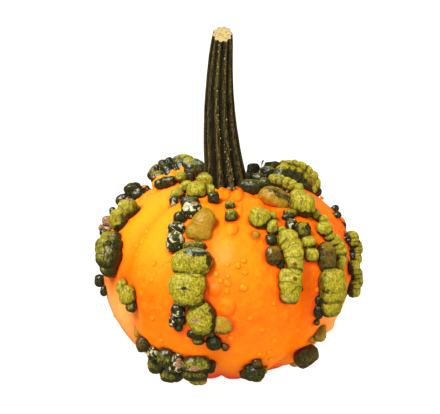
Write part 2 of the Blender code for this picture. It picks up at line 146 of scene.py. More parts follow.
RIGHT_OUTLINE = [
    (335.7, 208.3, 7, 7, "D"), (337.6, 214.8, 7.5, 7, "D"), (352, 239, 13, 16, "R"),
    (355.5, 248, 13, 18, "s"), (355.5, 258, 12, 14, "s"), (353.5, 268, 12, 14, "R"),
    (356, 278, 13, 20, "s"), (353.5, 289, 13, 16, "s"),
]
BOTTOM_LEFT = [
    (137.5, 332, 6, 10, "O"), (143, 344, 12.5, 15, "V"), (153.2, 353, 11.5, 13, "C"),
    (157, 364, 17, 18, "G"), (166, 357.5, 17, 18, "G"), (176, 362, 16, 19, "C"), (172, 373, 23, 18, "G"),
    (196, 364, 26, 16, "G"), (195, 372, 24, 17, "G"), (209, 366, 12, 15, "D"), (198, 379.5, 18, 10, "L"),
]
# Swellings and pimples of the orange rind, in pixels: across, down, width, height, how far they stand
PIMPLE_LIMIT = 10
RIND_BUMPS = [
    (225.6, 307, 20, 19, 2.6), (214.2, 290, 14, 13, 2.2), (230.9, 228.7, 15, 13, 3.0),
    (239.8, 208.3, 8, 15, 2.0), (231, 217, 20, 40, 1.6), (329, 325, 14, 16, 2.5), (349, 244, 8, 12, 2.0),
    (258.5, 202.5, 14, 11, 2.0), (287, 358, 26, 16, 2.0), (342.7, 219.8, 6, 7, 1.4), (284, 317, 14, 9, 1.2),
    (224, 192, 13, 17, 4.2), (237.5, 193, 13, 17, 4.2), (222, 324, 28, 26, 1.5), (202, 230, 34, 34, 1.5),
    (145.4, 197.3, 8, 6, 1.6), (137.8, 201, 8, 7, 1.6), (152.5, 192.9, 6, 5, 1.3), (147, 232, 6, 6, 1.6),
    (154.3, 263.6, 6, 6, 1.6), (152, 280, 6, 6, 1.4), (141.5, 242, 5, 5, 1.0), (137, 255, 5, 5, 1.0),
    (162, 264.5, 5, 5, 1.0), (168, 261, 4, 5, 1.0), (143, 239, 5, 5, 0.9), (136, 245.5, 4, 4, 0.8),
    (216.4, 274, 7, 7, 1.6), (220.7, 281, 6, 6, 1.3), (226.7, 282.5, 7, 7, 1.4), (217, 259.5, 6, 6, 1.4),
    (227.5, 265, 6, 5, 1.2), (237.8, 265.6, 6, 7, 1.7), (243.7, 260.6, 7, 6, 1.7),
    (244.7, 272.5, 8, 6, 1.5), (228, 283.5, 7, 7, 1.2), (243.7, 287.7, 9, 8, 1.2), (227, 291, 6, 6, 1.1),
    (228, 276, 5, 5, 1.0), (273.4, 303.5, 5, 5, 1.2), (317, 289.7, 6, 6, 1.2), (230.4, 337, 8, 8, 1.4),
    (161.4, 340.4, 5, 5, 1.2), (115, 315.4, 5, 5, 1.4), (259.3, 354, 6, 6, 1.2), (269, 351.7, 6, 6, 1.2),
    (270.5, 358.8, 6, 6, 1.2), (312.4, 338.6, 7, 8, 1.5), (321.9, 197.8, 6, 5, 1.2),
    (144.5, 186.6, 7, 6, 1.4), (225.6, 346.4, 11, 13, 1.4), (262, 330, 7, 6, 0.7), (250, 318, 7, 6, 0.7),
    (275, 340, 8, 6, 0.8), (297, 330, 7, 7, 0.7), (152, 318, 7, 6, 0.6),
]
# Marks on warts, in pixels: across, down, half width, half height, strength
MARKS = {
    # Pale marks are painted sheen: highlights on the tops of warts
    "pale": [
        (197, 250.5, 15, 1.8, 0.9), (215, 178, 4, 6, 0.4), (250, 184, 5, 2, 0.5), (257, 176, 3, 2, 0.7),
        (268, 169, 4, 2.5, 0.5), (185, 160, 6, 2.5, 0.5), (197, 163, 6, 2.5, 0.6), (213, 340, 3, 4, 0.5),
        (112, 236, 5, 3, 0.3), (189, 199, 5, 2.5, 0.5),
    ],
    "dark": [
        (196.5, 252.5, 17, 5.0, 1.0), (209, 260, 5, 10, 0.9), (188, 306, 8, 2.5, 0.7),
        (204, 268, 5, 2.5, 0.5),
    ],
    "pit": [
        (184, 289, 3.6, 2.6, 1.0), (327.7, 291.6, 3.8, 3.6, 0.55),
    ],
    "brown": [
        (295, 264.5, 2.8, 2.6, 1.0), (295.2, 279, 2.4, 2.6, 0.9), (338.3, 257.4, 2.6, 3.6, 1.0),
        (273, 229, 3, 4, 0.6), (202, 317.5, 3, 2, 0.5), (286.5, 240.5, 2.4, 2.0, 0.5),
        (196, 173, 8, 3, 0.9), (251, 193, 12, 2.6, 0.7), (123, 287, 2.4, 4.5, 0.6), (310, 184, 4, 7, 0.9),
        (319, 331, 6, 9, 0.6),
    ],
    "cork": [
        (129.3, 198.7, 4, 3, 1.0), (194.7, 320.4, 8, 3.2, 0.9), (287, 297, 5.5, 3.0, 0.6),
        (179, 363.5, 5.5, 6, 0.9), (194.5, 369.5, 10, 2.2, 1.0), (193, 367.5, 4, 1.6, 0.8),
        (187, 206, 4, 2.5, 0.8), (194, 203, 4, 3, 0.8),
    ],
    "orange": [
        (171.5, 182.5, 3.4, 1.8, 0.6), (178, 171, 3.2, 1.4, 0.5), (175, 205, 3.2, 3.4, 0.6),
        (155, 177, 5.5, 1.8, 0.5), (262.5, 200, 4, 5, 1.0), (269, 206, 11, 4, 1.0),
    ],
}
# Thin creases across warts, dented and darkened with painted shade, as lines through photo pixels: first
# those of the two crescents on the right
CRESCENT_CREASES = (239, 243, 247.5, 252, 257, 271, 275.5, 280, 285, 290)
CREASES = [[(348, v), (355, v - 1), (362, v - 1.5)] for v in CRESCENT_CREASES] + [
    [(280.6, 245.5), (284, 241.5), (287.2, 237.8)],
    [(280.5, 251.5), (286, 248.5), (292, 244.5), (296, 243)],
    [(283.5, 266.5), (287.2, 267.8), (291.7, 270.6), (296, 273.9), (300, 274.5)],
    [(278.5, 282.2), (287.2, 281.7), (293.9, 283.3), (297.2, 284.4)],
    [(291.7, 293.3), (294.5, 289), (297.2, 286.7), (301.7, 286.7)],
    [(284, 258), (290, 257), (296, 257.5), (302, 256)],
    [(177.5, 274.5), (183, 272.5), (189, 274), (196, 277.5), (203, 276)],
    [(178, 289.5), (184, 289), (191, 290.5)],
    [(184, 283), (184.3, 289), (184.5, 296)], [(197, 297), (201, 293.5), (203, 289)],
    [(186, 263), (190, 266), (192, 271)], [(257, 214), (259, 219), (256.5, 224)],
    [(200, 308), (204, 313), (210, 315)], [(108, 236), (112, 242), (110, 250), (114, 257)],
    [(103, 243), (106, 251), (103, 259), (107, 267)], [(113, 246), (119, 250)], [(99, 253), (105, 256)],
    [(299, 192), (303, 199), (301, 206)], [(120, 206), (124, 211), (121, 217)], [(302, 227), (306, 232)],
]
CREASE_WIDTH = 0.50

# Clusters of the sides that the photo hides, by the part's own rule: turn and rise in degrees, count, drift
HIDDEN_SEED = 7
HIDDEN_CLUSTERS = [
    (112, 18, 7, 0.15), (124, -12, 6, -0.20), (130, 36, 5, 0.30), (146, 24, 9, 0.05),
    (150, -34, 4, 0.35), (168, 38, 7, -0.15), (176, 4, 6, 0.20), (190, -30, 4, -0.30),
    (197, 36, 9, 0.12), (214, 4, 6, -0.22), (224, 38, 6, 0.05), (236, 16, 7, -0.10),
    (244, -28, 4, 0.20), (116, -40, 3, 0.10),
]
HIDDEN_WIDTH = (0.0095, 0.0200)

# Clusters behind the rind's upper edge. Some warts stand on orange skin there, a share of their mounds' size.
SHOULDER_SKIN = BACK_LEFT_SHOULDER[:5]
SHOULDER_SHARE = np.array([1.15, 1.15, 0.60])
BEYOND = (BACK_LEFT_SHOULDER, BACK_RIGHT_CHAIN, SHOULDER_SKIN)

# Mounds: how far a wart stands off before it has one, its widths in front and beyond, its flare, its top
MOUND_FROM = 0.35
MOUND_WIDTH, MOUND_WIDTH_BEYOND, MOUND_FLARE, MOUND_TOP = 0.72, 0.92, 0.25, 0.2

SIGHT_RIGHT = np.array([1.0, 0.0, 0.0])
SIGHT_AHEAD = np.array([0.0, math.cos(VIEW_UP), -math.sin(VIEW_UP)])
SIGHT_UP = np.array([0.0, math.sin(VIEW_UP), math.cos(VIEW_UP)])
HEART = np.array([0.0, 0.0, EQUATOR_UP])
EYE = (
    HEART
    - (AXIS_U - MIDDLE_U) * PIXEL * SIGHT_RIGHT
    + (EQUATOR_V - MIDDLE_V) * PIXEL * SIGHT_UP
    - VIEW_DISTANCE * SIGHT_AHEAD
)


def rind_radius(way):
    """How far the bare rind is from the heart, each way."""
    flat = np.hypot(way[:, 0], way[:, 1])
    rise = way[:, 2]
    turn = np.arctan2(way[:, 0], -way[:, 1])
    half = np.where(rise > 0, UPPER_HALF, LOWER_HALF)
    power = np.where(rise > 0, UPPER_POWER, LOWER_POWER)
    plain = ((flat / RIND_RADIUS) ** power + (np.abs(rise) / half) ** power) ** (-1.0 / power)
    groove = np.exp(-((np.sin(RIBS / 2 * (turn - GROOVE_TURN)) / GROOVE_WIDTH) ** 2))
    near_pole = np.clip(flat / 0.30, 0.0, 1.0)
    dent = np.where(rise > 0, DENT_DEPTH * np.exp(-((flat / DENT_REACH) ** 2)), 0.0)
    sway = SWAY * way[:, 0] * np.clip(-rise, 0.0, 1.0)
    return plain * (1.0 - GROOVE_DEPTH * groove * near_pole - dent - sway)


def line_of_sight(across, down):
    return (
        SIGHT_AHEAD
        + (across - MIDDLE_U) * PIXEL / VIEW_DISTANCE * SIGHT_RIGHT
        - (down - MIDDLE_V) * PIXEL / VIEW_DISTANCE * SIGHT_UP
    )


def seat_of(across, down, stand=0.0, pick=0):
    """Where a line of sight comes this near to the rind (pick -1: leaves it), or passes nearest to it."""
    steps = np.linspace(VIEW_DISTANCE - SEARCH_REACH, VIEW_DISTANCE + SEARCH_REACH, SEARCH_STEPS)
    points = EYE + steps[:, None] * line_of_sight(across, down)
    from_heart = points - HEART
    length = np.linalg.norm(from_heart, axis=1)
    excess = length - rind_radius(from_heart / length[:, None]) - stand
    inside = np.nonzero(excess < 0)[0]
    return points[inside[pick] if len(inside) else int(np.argmin(excess))]


def outward(place):
    """The way that the rind faces at a place."""
    nudges = np.array([(0.002, 0, 0), (0, 0.002, 0), (0, 0, 0.002)])
    around = np.concatenate([place + nudges, place - nudges]) - HEART
    length = np.linalg.norm(around, axis=1)
    level = length / rind_radius(around / length[:, None])
    slope = level[:3] - level[3:]
    return slope / np.linalg.norm(slope)


def seen_at(points):
    """Photo pixels at which places are seen."""
    from_eye = points - EYE
    depth = from_eye @ SIGHT_AHEAD
    scale = VIEW_DISTANCE / PIXEL / depth
    return MIDDLE_U + from_eye @ SIGHT_RIGHT * scale, MIDDLE_V - from_eye @ SIGHT_UP * scale


def ripple(points, size, seed):
    """Smooth noise between -1 and 1 with lumps about this size."""
    place = points / size + 31.7 * seed
    cell = np.floor(place).astype(np.int64)
    part = place - cell
    part = part * part * (3.0 - 2.0 * part)
    total = np.zeros(len(points))
    for corner in range(8):
        step = np.array([corner & 1, corner >> 1 & 1, corner >> 2 & 1])
        at = cell + step
        key = (at[:, 0] * 73856093) ^ (at[:, 1] * 19349663) ^ (at[:, 2] * 83492791) ^ (seed * 2971215073)
        key = ((key ^ (key >> 13)) * 1274126177) & 0x7FFFFFFF
        value = ((key >> 7) & 0xFFFF) / 32767.5 - 1.0
        total += value * np.prod(np.where(step, part, 1.0 - part), axis=1)
    return total


def root_mound(centre, half, kind, beyond):
    """A mound from the rind up to a wart that stands off it."""
    from_heart = centre - HEART
    length = np.linalg.norm(from_heart)
    way = from_heart / length
    foot = float(rind_radius(way[None, :])[0])
    stand = length - foot
    if stand < MOUND_FROM * half.min():
        return []
    side = np.cross(way, SIGHT_UP + 0.3 * SIGHT_RIGHT)
    side = side / np.linalg.norm(side)
    width = MOUND_WIDTH_BEYOND * half.mean() if beyond else MOUND_WIDTH * half.min()
    spread = width + MOUND_FLARE * stand
    axes = np.array([side, np.cross(way, side), way])
    size = np.array([spread, spread, stand + MOUND_TOP * half.min()])
    return [(HEART + way * foot, axes, size, kind, None, MOUND)]


def photo_warts(clusters):
    """Centre, axes, half widths, kind, dark side and join of each wart of these clusters."""
    found = []
    last = ("L", None)
    for cluster in clusters:
        beyond = cluster in BEYOND
        for row in cluster:
            across, down, wide, high, kind, lean, dark = row + (0, None)[len(row) - 5:]
            joined = LOBE if kind == "s" else APART
            if joined == LOBE:
                kind, dark = last
            last = (kind, dark)
            turn = math.radians(lean)
            first = math.cos(turn) * SIGHT_RIGHT + math.sin(turn) * SIGHT_UP
            second = math.cos(turn) * SIGHT_UP - math.sin(turn) * SIGHT_RIGHT
            axes = np.array([first, second, SIGHT_AHEAD])
            half = np.array([wide / 2, high / 2, WART_DEPTH * min(wide, high)]) * PIXEL * WART_SWELL
            facing = float(outward(seat_of(across, down)) @ SIGHT_AHEAD)
            lift = WART_LIFT + LIMB_LIFT * (1.0 - facing * facing)
            if kind == "O":
                lift -= OLIVE_SINK
            centre = seat_of(across, down, half.min() * lift, -1 if beyond else 0)
            found.append((centre, axes, half, kind, dark, joined))
            found.extend(root_mound(centre, half, kind, beyond))
    return found


def hidden_warts():
    """The warts of the hidden sides: chains that wander down the rind from each cluster's start."""
    chance = np.random.default_rng(HIDDEN_SEED)
    found = []
    for turn_deg, rise_deg, count, drift in HIDDEN_CLUSTERS:
        turn = math.radians(turn_deg)
        rise = math.radians(rise_deg)
        width = chance.uniform(*HIDDEN_WIDTH)
        kinds = "LLLlG" if turn_deg % 4 else "DGDlO"
        for step in range(count):
            flat = math.cos(rise)
            way = np.array([flat * math.sin(turn), -flat * math.cos(turn), math.sin(rise)])
            radius = float(rind_radius(way[None, :])[0])
            side = np.array([math.cos(turn), math.sin(turn), 0.0])
            up = np.cross(way, side)
            lean = chance.uniform(-0.6, 0.6)
            first = math.cos(lean) * side + math.sin(lean) * up
            second = np.cross(way, first)
            wide = width * chance.uniform(0.85, 1.25)
            high = width * chance.uniform(0.80, 1.15)
            half = np.array([wide / 2, high / 2, WART_DEPTH * min(wide, high)])
            kind = kinds[(step * 3 + int(turn_deg)) % len(kinds)]
            axes = np.array([first, second, way])
            found.append((HEART + way * radius, axes, half, kind, None, APART))
            if chance.uniform() < 0.45:
                beside = way + first * width * 0.75 / radius * chance.choice([-1.0, 1.0])
                beside = beside / np.linalg.norm(beside)
                reach = float(rind_radius(beside[None, :])[0])
                found.append((HEART + beside * reach, axes, half * 0.72, "D", None, APART))
            step_length = width * chance.uniform(0.62, 0.86)
            rise -= step_length / radius
            turn += step_length * (drift + chance.uniform(-0.45, 0.45)) / (radius * max(math.cos(rise), 0.3))
            width = float(np.clip(width * chance.uniform(0.78, 1.25), *HIDDEN_WIDTH))
    return found


def round_grid(steps):
    """Unit directions over a sphere, each face of a 20-sided ball split into steps times steps."""
    golden = (1 + math.sqrt(5)) / 2
    corners = np.array([
        (-1, golden, 0), (1, golden, 0), (-1, -golden, 0), (1, -golden, 0),
        (0, -1, golden), (0, 1, golden), (0, -1, -golden), (0, 1, -golden),
        (golden, 0, -1), (golden, 0, 1), (-golden, 0, -1), (-golden, 0, 1),
    ], float)
    sides = [
        (0, 11, 5), (0, 5, 1), (0, 1, 7), (0, 7, 10), (0, 10, 11), (1, 5, 9), (5, 11, 4),
        (11, 10, 2), (10, 7, 6), (7, 1, 8), (3, 9, 4), (3, 4, 2), (3, 2, 6), (3, 6, 8), (3, 8, 9),
        (4, 9, 5), (2, 4, 11), (6, 2, 10), (8, 6, 7), (9, 8, 1),
    ]
    rows, cols = np.meshgrid(np.arange(steps + 1), np.arange(steps + 1), indexing="ij")
    keep = rows + cols <= steps
    rows, cols = rows[keep], cols[keep]
    index = -np.ones((steps + 2, steps + 2), int)
    index[rows, cols] = np.arange(len(rows))
    up = [(index[r, c], index[r + 1, c], index[r, c + 1]) for r, c in zip(rows, cols) if r + c < steps]
    down = [(index[r + 1, c], index[r + 1, c + 1], index[r, c + 1])
            for r, c in zip(rows, cols) if r + c < steps - 1]
    local = np.array(up + down)
    points, faces = [], []
    for n, (a, b, c) in enumerate(sides):
        share = np.stack([steps - rows - cols, rows, cols], 1) / steps
        points.append(share @ corners[[a, b, c]])
        faces.append(local + n * len(rows))
    points = np.concatenate(points)
    faces = np.concatenate(faces)
    points = points / np.linalg.norm(points, axis=1)[:, None]
    _, first, back = np.unique(np.round(points, 6), axis=0, return_index=True, return_inverse=True)
    return points[first], back.reshape(-1)[faces]


def new_mesh(name, points, faces):
    mesh = bpy.data.meshes.new(name)
    faces = np.asarray(faces, np.int32)
    mesh.vertices.add(len(points))
    mesh.vertices.foreach_set("co", np.asarray(points, np.float32).ravel())
    mesh.loops.add(faces.size)
    mesh.loops.foreach_set("vertex_index", faces.ravel())
    mesh.polygons.add(len(faces))
    mesh.polygons.foreach_set("loop_start", np.arange(0, faces.size, faces.shape[1], dtype=np.int32))
    mesh.update(calc_edges=True)
    mesh.validate()
    mesh.shade_smooth()
    obj = bpy.data.objects.new(name, mesh)
    bpy.context.scene.collection.objects.link(obj)
    return obj


def of_each_point(mesh, what):
    out = np.empty(len(mesh.vertices) * 3, np.float32)
    mesh.vertices.foreach_get(what, out)
    return out.reshape(-1, 3).astype(float)


def hold(mesh, **shares):
    """Keeps a share between 0 and 1 at each point, for the paint to read."""
    for name, values in shares.items():
        made = mesh.attributes.new(name, "FLOAT", "POINT")
        made.data.foreach_set("value", np.clip(values, 0.0, 1.0).astype(np.float32))


def smoothstep(low, high, x):
    t = np.clip((x - low) / (high - low), 0.0, 1.0)
    return t * t * (3.0 - 2.0 * t)


def ellipse_share(u, v, across, down, wide, high):
    return np.hypot((u - across) / wide, (v - down) / high)


def line_gap(u, v, line):
    """Distance in pixels from places to a line through pixels."""
    gap = np.full(len(u), FAR)
    for (ua, va), (ub, vb) in zip(line, line[1:]):
        du, dv = ub - ua, vb - va
        along = np.clip(((u - ua) * du + (v - va) * dv) / (du * du + dv * dv), 0.0, 1.0)
        gap = np.minimum(gap, np.hypot(u - ua - along * du, v - va - along * dv))
    return gap


BALL = round_grid(9)
FINE_BALL = round_grid(16)
KIND_TONE = {
    "L": 0.10, "l": 0.10, "Y": 0.0, "D": 0.95, "C": 0.97, "G": 0.62,
    "O": 0.45, "B": 0.75, "K": 0.5, "V": 0.85, "R": 0.10,
}
KIND_OLIVE = {"O": 1.0, "B": 1.0, "V": 0.6}
KIND_BROWN = {"B": 0.8, "V": 0.15}
DARK_SIDE = {"l": -90, "R": 180}
# Where the dark side (the wart's own darker colour and painted shade away from the light) starts, in half
# widths from the wart's middle, and how dark it is
PLAIN_SPREAD = (0.35, 0.9)
DARK_SPREAD = {"l": (0.45, 0.6), "R": (-0.10, 0.6), "O": (-0.1, 0.7)}
SEAM_WIDTH = 0.0010


def grown_together(name, warts, voxel, seed):
    """Uneven lumps merged into one closed skin."""
    points, faces, count = [], [], 0
    for number, (centre, axes, half, *_) in enumerate(warts):
        ball, ball_faces = FINE_BALL if half.min() > FINE_FROM else BALL
        size = (np.abs(ball) ** LUMP_POWER).sum(axis=1) ** (-1.0 / LUMP_POWER)
        coarse = ripple(ball, 0.75, seed + number)
        fine = ripple(ball, 0.35, seed + number + 50)
        size = size * (1.0 + 0.075 * coarse + 0.03 * fine)
        points.append(centre + (ball * size[:, None] * half) @ axes)
        faces.append(ball_faces + count)
        count += len(ball)
    raw = new_mesh(name, np.concatenate(points), np.concatenate(faces))
    grow = raw.modifiers.new("grow together", "REMESH")
    grow.mode = "VOXEL"
    grow.voxel_size = voxel
    ease = raw.modifiers.new("ease", "SMOOTH")
    ease.factor = 0.5
    ease.iterations = 3
    bpy.context.view_layer.update()
    graph = bpy.context.evaluated_depsgraph_get()
    mesh = bpy.data.meshes.new_from_object(raw.evaluated_get(graph), depsgraph=graph)
    mesh.name = name
    raw.modifiers.clear()
    raw.data = mesh
    return raw


def nearest_lumps(at, warts):
    """Each place's lump, its gap to the next wart and its gap to the next lump of the same wart."""
    first, second, inner = (np.full(len(at), FAR) for _ in range(3))
    owner = np.zeros(len(at), int)
    number = 0
    while number < len(warts):
        best, next_best = (np.full(len(at), FAR) for _ in range(2))
        who = np.zeros(len(at), int)
        main = number
        while number < len(warts) and (number == main or warts[number][5]):
            centre, axes, half, *_, joined = warts[number]
            q = ((at - centre) @ axes.T) / half
            level = ((np.abs(q) ** LUMP_POWER).sum(axis=1) ** (1.0 / LUMP_POWER) - 1.0) * half.mean()
            closer = level < best
            next_best = np.where(closer, best, np.minimum(next_best, level))
            best = np.where(closer, level, best)
            # A mound takes the colour of the wart that stands on it
            who = np.where(closer, number - int(joined == MOUND), who)
            number += 1
        better = best < first
        inner = np.where(better, next_best - best, inner)
        second = np.where(better, first, np.minimum(second, best))
        first = np.where(better, best, first)
        owner = np.where(better, who, owner)
    return owner, second - first, inner


def wart_piece(name, warts, voxel, seed, fleck):
    """One piece of wart surface with its creases, and the shares that its paint reads."""
    raw = grown_together(name, warts, voxel, seed)
    mesh = raw.data
    at = of_each_point(mesh, "co")
    up = of_each_point(mesh, "normal")
    drift = np.stack([ripple(at, 0.0042, seed + k) for k in (90, 91, 92)], 1) * 0.0005
    owner, gap, inner = nearest_lumps(at + drift, warts)
    # Gaps between neighbouring warts, which the paint darkens as painted shade
    seam = np.exp(-((gap / SEAM_WIDTH) ** 2))

    def per_wart(rule):
        return np.array([float(rule(w[3])) for w in warts])[owner]

    tone = per_wart(KIND_TONE.get) + np.array([0.06 * math.sin(n * 12.9) for n in range(len(warts))])[owner]
    rib = per_wart(lambda kind: kind in "lR") * np.exp(-((inner / SEAM_WIDTH) ** 2))
    centres = np.array([w[0] for w in warts])[owner]
    sizes = np.array([w[2].mean() for w in warts])[owner]
    out = (at - centres) / sizes[:, None]
    aside, above = out @ SIGHT_RIGHT, out @ SIGHT_UP
    teeth = 0.22 * ripple(at, 0.0032, seed + 7) + 0.16 * ripple(at, 0.0013, seed + 8)
    # Each wart's dark side: its own darker colour, and painted shade on the side away from the light
    for number, (_, _, _, kind, dark, _) in enumerate(warts):
        side = DARK_SIDE.get(kind) if dark is None else dark
        if side is not None:
            turn = math.radians(side)
            lean = aside * math.cos(turn) + above * math.sin(turn) + teeth
            start, much = DARK_SPREAD.get(kind, PLAIN_SPREAD)
            tone = np.where(owner == number, tone + much * smoothstep(start, start + 0.5, lean), tone)
    # Painted shade on undersides and in the gaps between ribbed lobes, and painted highlight on tops
    rise = up @ SIGHT_UP
    underside_shade = smoothstep(0.05, 0.85, 0.25 * teeth - rise)
    tone = tone + 0.45 * underside_shade - 0.32 * smoothstep(0.1, 0.9, rise) + 0.45 * rib

    # How far a place stands off the bare rind, so that wart edges turn dark at their roots: painted shade
    # where they meet the rind. The steep sides of warts get painted shade as well.
    from_heart = at - HEART
    length = np.linalg.norm(from_heart, axis=1)
    stand = length - rind_radius(from_heart / length[:, None])
    flank_shade = smoothstep(0.72, 0.10, (up * from_heart).sum(axis=1) / length)
    is_olive = per_wart(lambda kind: kind == "O")
    tone = tone + 0.50 * flank_shade * (1.0 - is_olive) * per_wart(lambda kind: 0.25 if kind in "lR" else 1.0)
    root = 1.0 - smoothstep(0.0006, 0.0034, stand + 0.0006 * ripple(at, 0.003, seed + 3))

    # Marks and creases lie only where the photo's view sees them
    u, v = seen_at(at)
    shown = smoothstep(-0.1, 0.25, -(up @ SIGHT_AHEAD))
    ragged = 0.28 * ripple(at, 0.0022, seed + 11)
    marks = {kind: np.zeros(len(at)) for kind in MARKS}
    for kind, rows in MARKS.items():
        for across, down, wide, high, strength in rows:
            share = ellipse_share(u, v, across, down, wide, high) + ragged
            weight = strength * (1.0 - smoothstep(0.35, 1.25, share)) * shown
            marks[kind] = np.maximum(marks[kind], weight)
    wavy_u = u + 0.5 * ripple(at, 0.0025, seed + 20)
    wavy_v = v + 0.5 * ripple(at, 0.0025, seed + 21)
    line = np.zeros(len(at))
    for crease in CREASES:
        depth = np.exp(-((line_gap(wavy_u, wavy_v, crease) / CREASE_WIDTH) ** 2))
        line = np.maximum(line, depth * shown * 0.8)

    lumps = 0.00040 * ripple(at, 0.0046, seed + 1) + 0.00032 * ripple(at, 0.0021, seed + 2)
    move = lumps - 0.00030 * rib - 0.00050 * seam - 0.00065 * line - 0.0006 * marks["pit"]
    at = at + up * move[:, None]
    at[:, 2] = np.maximum(at[:, 2], WART_CLEARANCE * 0.7)
    mesh.vertices.foreach_set("co", at.astype(np.float32).ravel())
    mesh.update()
    hold(
        mesh,
        tone=np.maximum(tone, np.maximum(1.2 * marks["pit"], 1.1 * marks["dark"])),
        olive=per_wart(lambda kind: KIND_OLIVE.get(kind, 0.0)),
        brown=np.maximum(per_wart(lambda kind: KIND_BROWN.get(kind, 0.0)), marks["brown"]),
        cork=np.maximum(per_wart(lambda kind: kind == "K"), marks["cork"]),
        crackle=per_wart(lambda kind: kind == "C"),
        orange=marks["orange"],
        # seam: painted shade in gaps between warts and along creases
        seam=np.maximum(seam * 0.9, line),
        # root: painted shade at the roots of warts
        root=root * (1.0 - 0.7 * is_olive),
        # pale: painted sheen
        pale=marks["pale"],
        fleck=np.full(len(at), fleck),
    )
    mesh.shade_smooth()
    return raw


def rind_piece(warts):
    """The ribbed rind with its swellings, puffed up a little around each wart."""
    way, faces = round_grid(RIND_STEPS)
    # More points on the side that the photo shows
    front = np.array([0.0, -math.cos(VIEW_UP), math.sin(VIEW_UP) * 1.4])
    way = way + 0.30 * front
    way = way / np.linalg.norm(way, axis=1)[:, None]
    bare = rind_radius(way)
    at = HEART + way * bare[:, None]
    u, v = seen_at(at)
    facing = np.clip(-(way @ SIGHT_AHEAD), 0.0, 1.0)
    rise = np.zeros(len(at))
    fold_shade = np.zeros(len(at))
    for across, down, wide, high, stand in RIND_BUMPS:
        if max(wide, high) < PIMPLE_LIMIT:
            continue
        share = ellipse_share(u, v, across, down, wide / 2, high / 2)
        bump = np.clip(1.0 - share * share, 0.0, 1.0) ** 1.3 * (facing > 0.05)
        rise += bump * stand * PIXEL
        # Painted shade: a red ring round the lower right of each big swelling, away from the light
        below = smoothstep(-0.9, 0.9, ((u - across) + (v - down)) / max(wide, high))
        fold_shade = np.maximum(fold_shade, np.exp(-(((share - 1.0) / 0.16) ** 2)) * below * min(stand / 3.0, 1.0))
    near = np.full(len(at), FAR)
    for centre, axes, half, *_ in warts:
        reach = np.linalg.norm(at - centre, axis=1)
        close = np.nonzero(reach < half.max() + 0.02)[0]
        q = ((at[close] - centre) @ axes.T) / half
        level = (np.linalg.norm(q, axis=1) - 1.0) * half.mean()
        near[close] = np.minimum(near[close], level)
    puff = np.exp(-((np.clip(near, 0, None) / 0.0050) ** 2))
    rise += 0.0007 * puff
    rise += 0.00035 * ripple(at, 0.022, 5) + 0.00036 * ripple(at, 0.009, 6) + 0.00012 * ripple(at, 0.0035, 8)
    radius = bare + rise
    falling = way[:, 2] < -0.05
    drop = np.where(falling, -way[:, 2], 1.0)
    radius = np.minimum(radius, np.where(falling, EQUATOR_UP / drop, FAR))
    obj = new_mesh("rind", HEART + way * radius[:, None], faces)
    turn = np.arctan2(way[:, 0], -way[:, 1])
    groove = np.exp(-((np.sin(RIBS / 2 * (turn - GROOVE_TURN)) / 0.3) ** 2))
    hold(
        obj.data,
        # A red fringe round warts, partly the rind's own redder colour and partly painted shade, with the
        # painted shade rings of big swellings
        near=np.maximum(np.exp(-np.clip(near, 0, None) / 0.0034), fold_shade * 0.95),
        groove=groove,
        # Painted reflection of the white table: paler low on the left and right, where the rind turns towards
        # it
        pale=smoothstep(0.62, 0.90, np.abs(way[:, 0])) * smoothstep(0.10, -0.25, way[:, 2]),
    )
    return obj


def pimple_piece():
    """Small smooth domes of the rind, yellow on top, partly their own colour and partly painted highlight,
    and red at their foot as painted shade.
    """
    ball, ball_faces = round_grid(7)
    points, faces, tops = [], [], []
    for number, (across, down, wide, high, stand) in enumerate(RIND_BUMPS):
        if max(wide, high) >= PIMPLE_LIMIT:
            continue
        seat = seat_of(across, down)
        facing = outward(seat)
        side = np.cross(facing, SIGHT_UP)
        side = side / np.linalg.norm(side)
        half = np.array([wide * 0.44, high * 0.44, stand * 1.25]) * PIXEL
        size = 1.0 + 0.08 * ripple(ball, 0.8, 130 + number)
        axes = np.array([side, np.cross(side, facing), facing])
        points.append(seat + (ball * size[:, None] * half) @ axes)
        faces.append(ball_faces + len(ball) * len(tops))
        tops.append(ball[:, 2])
    obj = new_mesh("pimples", np.concatenate(points), np.concatenate(faces))
    top = np.concatenate(tops)
    # Red foot: painted shade. Yellow crown: partly the domes' own colour, partly painted highlight
    foot = 0.45 * (1.0 - smoothstep(0.10, 0.60, top))
    crown = 0.8 * smoothstep(0.40, 0.95, top)
    hold(obj.data, near=foot, pimple=crown)
    return obj


def linear(red, green, blue):
    """A screen colour, three numbers up to 255, as the shader wants it."""
    shares = [c / 255 for c in (red, green, blue)]
    return tuple(c / 12.92 if c <= 10 / 255 else ((c + 0.055) / 1.055) ** 2.4 for c in shares) + (1.0,)


